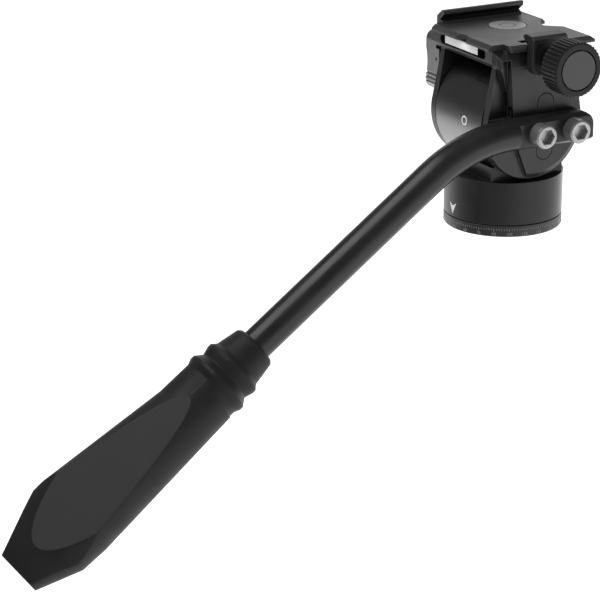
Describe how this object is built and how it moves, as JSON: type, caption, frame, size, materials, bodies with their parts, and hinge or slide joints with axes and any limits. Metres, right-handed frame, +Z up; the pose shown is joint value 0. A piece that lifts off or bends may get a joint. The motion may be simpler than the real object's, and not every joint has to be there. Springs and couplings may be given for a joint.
{
  "type": "fluid video head",
  "caption": "Dark fluid video head: round pan base with a tripod thread, tilting cradle on a drum, dovetail plate clamp with screw knob, and a bent pan bar with a shaped grip.",
  "frame": {"origin": "mouth of the tripod thread, at the centre of the base's underside", "axes": "+Z up along the pan axis, +Y towards the lens, +X towards the pan bar and the clamp knob"},
  "size_m": [0.0903, 0.2711, 0.1968],
  "materials": {
    "anodised": "dark anodised, satin",
    "plate_dark": "dark grey anodised, fine matt",
    "cap_grey": "grey anodised, satin",
    "bar_black": "black, semi-gloss",
    "grip_black": "black, fine grained",
    "knob_black": "dark, satin",
    "knob_disc": "dark grey anodised, satin",
    "lever_grey": "grey, satin",
    "steel": "plain steel, satin",
    "bolt_steel": "bright steel",
    "alloy": "turned, bare",
    "bronze": "sintered bearing bronze",
    "polymer": "pale bearing plastic",
    "vial": "white, glossy"
  },
  "bodies": {
    "base": {"base_plate": "anodised", "thread_bush": "steel", "pan_spindle": "alloy", "base_screws": "steel", "pan_retainer": "steel", "retainer_screw": "steel"},
    "pan_body": {"pan_housing": "anodised", "pan_bush": "bronze", "thrust_washer": "polymer", "lock_shoe": "bronze", "drum_flanges": "alloy", "tilt_bushes": "bronze"},
    "pan_lock": {"pan_lock_knob": "knob_black", "pan_lock_screw": "steel"},
    "tilt_head": {"cradle": "anodised", "clamp_plate": "plate_dark", "plate_screws": "steel", "plate_cap": "cap_grey", "level": "vial", "tilt_axle": "steel", "damper_discs": "polymer", "stadium_cover": "anodised", "pan_bar": "bar_black", "bar_bolts": "bolt_steel", "grip": "grip_black"},
    "jaw": {"movable_jaw": "anodised", "guide_pins": "steel"},
    "knob": {"clamp_knob": "knob_black", "knob_face": "knob_disc", "clamp_screw": "steel"},
    "tilt_lock": {"tilt_lever": "lever_grey"}
  },
  "joints": [
    {"name": "pan", "type": "hinge", "parent": "base", "child": "pan_body", "pos_m": [0, 0, 0], "axis": [0, 0, 1], "continuous": true},
    {"name": "tilt", "type": "hinge", "parent": "pan_body", "child": "tilt_head", "pos_m": [0, 0, 0.0476], "axis": [1, 0, 0], "range_deg": [-70, 50]},
    {"name": "jaw_slide", "type": "slide", "parent": "tilt_head", "child": "jaw", "axis": [1, 0, 0], "range_m": [-0.0025, 0.0025]},
    {"name": "knob_turn", "type": "hinge", "parent": "jaw", "child": "knob", "pos_m": [0.04, 0, 0.0774], "axis": [1, 0, 0], "range_deg": [-720, 720]},
    {"name": "tilt_lock_turn", "type": "hinge", "parent": "tilt_head", "child": "tilt_lock", "pos_m": [-0.028, 0, 0.0476], "axis": [1, 0, 0], "range_deg": [0, 45]},
    {"name": "pan_lock_turn", "type": "hinge", "parent": "pan_body", "child": "pan_lock", "pos_m": [-0.02624, 0.01454, 0.013], "axis": [-0.8746, 0.4848, 0], "range_deg": [-180, 0]}
  ],
  "couplings": [
    {"joint": "knob_turn", "follows": "jaw_slide", "rad_per_m": 5026.5}
  ]
}
